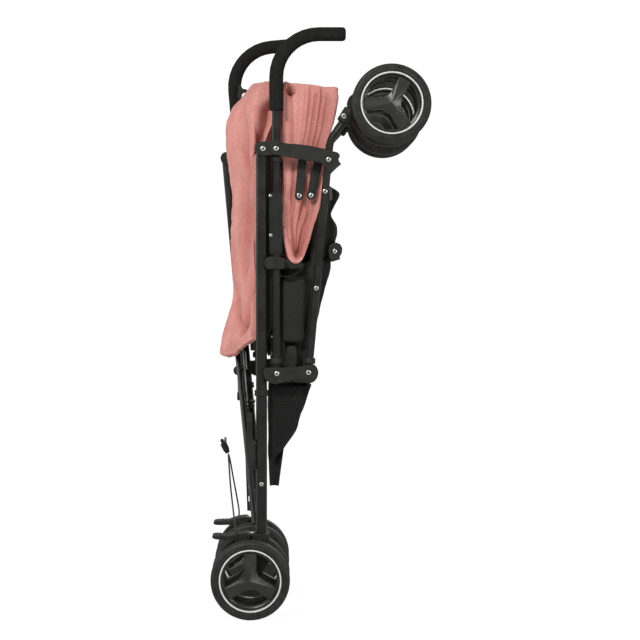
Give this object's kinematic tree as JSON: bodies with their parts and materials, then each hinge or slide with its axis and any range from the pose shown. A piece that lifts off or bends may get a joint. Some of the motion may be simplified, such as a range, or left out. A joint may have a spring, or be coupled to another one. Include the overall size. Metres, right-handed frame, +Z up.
{
  "type": "folded lightweight stroller",
  "caption": "Folded umbrella stroller: two hooked-handle side frames, braces, twin swivel and fixed wheels, pleated hood, mesh basket, brakes and a double-pivot fold.",
  "frame": {"origin": "Underside of the right handle's hook, at the middle of its straight end, where the folded stroller hangs.", "axes": "+X is the stroller's front, +Y its left, +Z up along the folded frame."},
  "size_m": [0.4015, 0.293, 1.0895],
  "materials": {
    "black_tube": "satin black paint",
    "black_plastic": "satin",
    "black_foam": "matt foam",
    "tyre_rubber": "matt, finely grooved",
    "rim_plastic": "satin",
    "steel": "bright",
    "pink_cloth": "woven",
    "black_cloth": "woven",
    "black_mesh": "open mesh",
    "cable_sheath": "smooth"
  },
  "bodies": {
    "right_frame": {"right_handle_tube": "black_tube", "right_grip": "black_foam", "right_upper_bracket": "black_plastic", "right_hood_clip": "black_plastic", "hood_back": "pink_cloth", "hood_front": "pink_cloth", "seat_cloth": "black_cloth"},
    "transport_lock": {"transport_lock": "black_plastic"},
    "right_rear_leg": {"right_rear_leg": "black_tube", "right_rear_block": "black_plastic", "right_rear_axle": "steel", "basket": "black_mesh", "brake_cable": "cable_sheath", "cable_joiner": "black_plastic"},
    "fold_lock": {"fold_lock": "black_plastic"},
    "right_link": {"right_lower_bracket": "black_plastic"},
    "left_link": {"left_lower_bracket": "black_plastic"},
    "left_frame": {"left_handle_tube": "black_tube", "left_grip": "black_foam", "left_upper_bracket": "black_plastic", "left_hood_clip": "black_plastic"},
    "left_rear_leg": {"left_rear_leg": "black_tube", "left_rear_block": "black_plastic", "left_rear_axle": "steel"},
    "right_brake": {"right_brake_pedal": "black_plastic"},
    "right_front_leg": {"right_front_leg": "black_tube", "right_swivel_block": "black_plastic"},
    "right_caster": {"right_caster_fork": "black_plastic", "right_front_axle": "steel"},
    "right_leg_rest": {"right_leg_rest": "black_cloth"},
    "right_rear_brace": {"right_rear_brace": "black_tube"},
    "right_back_brace": {"right_back_brace": "black_tube"},
    "right_front_bow": {"right_front_blade": "black_plastic"},
    "right_front_outer_wheel": {"right_front_outer_tyre": "tyre_rubber", "right_front_outer_rim": "rim_plastic"},
    "right_front_inner_wheel": {"right_front_inner_tyre": "tyre_rubber", "right_front_inner_rim": "rim_plastic"},
    "right_rear_bow": {"right_rear_blade": "black_plastic"},
    "right_rear_outer_wheel": {"right_rear_outer_tyre": "tyre_rubber", "right_rear_outer_rim": "rim_plastic"},
    "right_rear_inner_wheel": {"right_rear_inner_tyre": "tyre_rubber", "right_rear_inner_rim": "rim_plastic"},
    "left_brake": {"left_brake_pedal": "black_plastic"},
    "left_front_leg": {"left_front_leg": "black_tube", "left_swivel_block": "black_plastic"},
    "left_caster": {"left_caster_fork": "black_plastic", "left_front_axle": "steel"},
    "left_leg_rest": {"left_leg_rest": "black_cloth"},
    "left_rear_brace": {"left_rear_brace": "black_tube"},
    "left_back_brace": {"left_back_brace": "black_tube"},
    "left_front_bow": {"left_front_blade": "black_plastic"},
    "left_front_outer_wheel": {"left_front_outer_tyre": "tyre_rubber", "left_front_outer_rim": "rim_plastic"},
    "left_front_inner_wheel": {"left_front_inner_tyre": "tyre_rubber", "left_front_inner_rim": "rim_plastic"},
    "left_rear_bow": {"left_rear_blade": "black_plastic"},
    "left_rear_outer_wheel": {"left_rear_outer_tyre": "tyre_rubber", "left_rear_outer_rim": "rim_plastic"},
    "left_rear_inner_wheel": {"left_rear_inner_tyre": "tyre_rubber", "left_rear_inner_rim": "rim_plastic"}
  },
  "joints": [
    {"name": "fold", "type": "hinge", "parent": "right_frame", "child": "right_link", "pos_m": [-0.103, 0, -0.6095], "axis": [0, 1, 0], "range_deg": [0, 86], "deforming": ["hood_back", "hood_front", "seat_cloth", "basket", "brake_cable"]},
    {"name": "right_front_leg_pivot", "type": "hinge", "parent": "right_link", "child": "right_front_leg", "pos_m": [-0.044, 0, -0.6095], "axis": [0, 1, 0], "range_deg": [0, 86]},
    {"name": "right_rear_leg_pivot", "type": "hinge", "parent": "right_frame", "child": "right_rear_leg", "pos_m": [-0.13, 0, -0.1975], "axis": [0, 1, 0], "range_deg": [0, 41]},
    {"name": "spread", "type": "slide", "parent": "right_frame", "child": "left_frame", "axis": [0.2629, 0.9648, -0.0096], "range_m": [0, 0.197]},
    {"name": "left_link_pivot", "type": "hinge", "parent": "left_frame", "child": "left_link", "pos_m": [-0.13636, 0.195, -0.60678], "axis": [0, 1, 0], "range_deg": [0, 91.14]},
    {"name": "left_front_leg_pivot", "type": "hinge", "parent": "left_link", "child": "left_front_leg", "pos_m": [-0.0776, 0.195, -0.60151], "axis": [0, 1, 0], "range_deg": [0, 76.69]},
    {"name": "left_rear_leg_pivot", "type": "hinge", "parent": "left_frame", "child": "left_rear_leg", "pos_m": [-0.20009, 0.195, -0.19885], "axis": [0, 1, 0], "range_deg": [0, 46.14]},
    {"name": "right_rear_brace_pivot", "type": "hinge", "parent": "right_rear_leg", "child": "right_rear_brace", "pos_m": [-0.143, 0.0167, -0.8865], "axis": [-0.9919, 0.0248, -0.1245], "range_deg": [0, 41.45]},
    {"name": "left_rear_brace_pivot", "type": "hinge", "parent": "left_rear_leg", "child": "left_rear_brace", "pos_m": [-0.13848, 0.1783, -0.88509], "axis": [0.9991, -0.0248, -0.0353], "range_deg": [0, 41.45]},
    {"name": "right_back_brace_pivot", "type": "hinge", "parent": "right_frame", "child": "right_back_brace", "pos_m": [-0.1095, 0.0143, -0.5795], "axis": [-0.9612, 0.1338, -0.2411], "range_deg": [0, 38.23]},
    {"name": "left_back_brace_pivot", "type": "hinge", "parent": "left_frame", "child": "left_back_brace", "pos_m": [-0.13257, 0.1807, -0.57632], "axis": [0.9791, -0.1333, -0.1533], "range_deg": [0, 38.22]},
    {"name": "transport_lock_lift", "type": "hinge", "parent": "right_frame", "child": "transport_lock", "pos_m": [-0.103, 0, -0.1975], "axis": [0, -1, 0], "range_deg": [0, 25]},
    {"name": "fold_lock_pull", "type": "hinge", "parent": "right_rear_leg", "child": "fold_lock", "pos_m": [-0.148, 0, -0.78], "axis": [0, -1, 0], "range_deg": [0, 25]},
    {"name": "right_brake", "type": "hinge", "parent": "right_rear_leg", "child": "right_brake", "pos_m": [-0.1642, 0, -0.9125], "axis": [0, -1, 0], "range_deg": [0, 20]},
    {"name": "left_brake", "type": "hinge", "parent": "left_rear_leg", "child": "left_brake", "pos_m": [-0.17022, 0.195, -0.91404], "axis": [0, -1, 0], "range_deg": [0, 20]},
    {"name": "leg_rest", "type": "hinge", "parent": "right_link", "child": "right_leg_rest", "pos_m": [-0.069, 0, -0.5785], "axis": [0, 1, 0], "range_deg": [0, 70]},
    {"name": "left_leg_rest_pivot", "type": "hinge", "parent": "left_link", "child": "left_leg_rest", "pos_m": [-0.10527, 0.195, -0.57287], "axis": [0, 1, 0], "range_deg": [0, 70]},
    {"name": "hood_open", "type": "hinge", "parent": "right_frame", "child": "right_front_bow", "pos_m": [-0.067, 0, -0.42], "axis": [0, 1, 0], "range_deg": [0, 75]},
    {"name": "right_rear_bow_pivot", "type": "hinge", "parent": "right_frame", "child": "right_rear_bow", "pos_m": [-0.067, 0, -0.42], "axis": [0, 1, 0], "range_deg": [0, 37.5]},
    {"name": "left_front_bow_pivot", "type": "hinge", "parent": "left_frame", "child": "left_front_bow", "pos_m": [-0.11745, 0.195, -0.41482], "axis": [0, 1, 0], "range_deg": [0, 75]},
    {"name": "left_rear_bow_pivot", "type": "hinge", "parent": "left_frame", "child": "left_rear_bow", "pos_m": [-0.11745, 0.195, -0.41482], "axis": [0, 1, 0], "range_deg": [0, 37.5]},
    {"name": "right_caster_swivel", "type": "hinge", "parent": "right_front_leg", "child": "right_caster", "pos_m": [0.01899, 0, -0.15032], "axis": [0.5299, 0, 0.848], "range_deg": [-120, 120]},
    {"name": "left_caster_swivel", "type": "hinge", "parent": "left_front_leg", "child": "left_caster", "pos_m": [0.01885, 0.195, -0.14818], "axis": [0.5906, 0, 0.807], "range_deg": [-120, 120]},
    {"name": "right_rear_outer_wheel_spin", "type": "hinge", "parent": "right_rear_leg", "child": "right_rear_outer_wheel", "pos_m": [-0.15, -0.036, -0.9805], "axis": [0, 1, 0], "continuous": true},
    {"name": "right_rear_inner_wheel_spin", "type": "hinge", "parent": "right_rear_leg", "child": "right_rear_inner_wheel", "pos_m": [-0.15, 0.036, -0.9805], "axis": [0, 1, 0], "continuous": true},
    {"name": "right_front_outer_wheel_spin", "type": "hinge", "parent": "right_caster", "child": "right_front_outer_wheel", "pos_m": [0.10576, -0.036, -0.11846], "axis": [0, 1, 0], "continuous": true},
    {"name": "right_front_inner_wheel_spin", "type": "hinge", "parent": "right_caster", "child": "right_front_inner_wheel", "pos_m": [0.10576, 0.036, -0.11846], "axis": [0, 1, 0], "continuous": true},
    {"name": "left_rear_outer_wheel_spin", "type": "hinge", "parent": "left_rear_leg", "child": "left_rear_outer_wheel", "pos_m": [-0.15, 0.231, -0.9805], "axis": [0, 1, 0], "continuous": true},
    {"name": "left_rear_inner_wheel_spin", "type": "hinge", "parent": "left_rear_leg", "child": "left_rear_inner_wheel", "pos_m": [-0.15, 0.159, -0.9805], "axis": [0, 1, 0], "continuous": true},
    {"name": "left_front_outer_wheel_spin", "type": "hinge", "parent": "left_caster", "child": "left_front_outer_wheel", "pos_m": [0.10772, 0.231, -0.12276], "axis": [0, 1, 0], "continuous": true},
    {"name": "left_front_inner_wheel_spin", "type": "hinge", "parent": "left_caster", "child": "left_front_inner_wheel", "pos_m": [0.10772, 0.159, -0.12276], "axis": [0, 1, 0], "continuous": true}
  ],
  "couplings": [
    {"joint": "right_front_leg_pivot", "follows": "fold", "ratio": 1},
    {"joint": "right_rear_leg_pivot", "follows": "fold", "ratio": 0.47674},
    {"joint": "spread", "follows": "fold", "m_per_rad": 0.13121},
    {"joint": "left_link_pivot", "follows": "fold", "ratio": 1.0597},
    {"joint": "left_front_leg_pivot", "follows": "fold", "ratio": 0.89151},
    {"joint": "left_rear_leg_pivot", "follows": "fold", "ratio": 0.53639},
    {"joint": "right_rear_brace_pivot", "follows": "fold", "ratio": 0.48174},
    {"joint": "left_rear_brace_pivot", "follows": "fold", "ratio": 0.48175},
    {"joint": "right_back_brace_pivot", "follows": "fold", "ratio": 0.44434},
    {"joint": "left_back_brace_pivot", "follows": "fold", "ratio": 0.44427},
    {"joint": "left_brake", "follows": "right_brake", "ratio": 1},
    {"joint": "left_leg_rest_pivot", "follows": "leg_rest", "ratio": 1},
    {"joint": "right_rear_bow_pivot", "follows": "hood_open", "ratio": 0.5},
    {"joint": "left_front_bow_pivot", "follows": "hood_open", "ratio": 1},
    {"joint": "left_rear_bow_pivot", "follows": "hood_open", "ratio": 0.5}
  ]
}
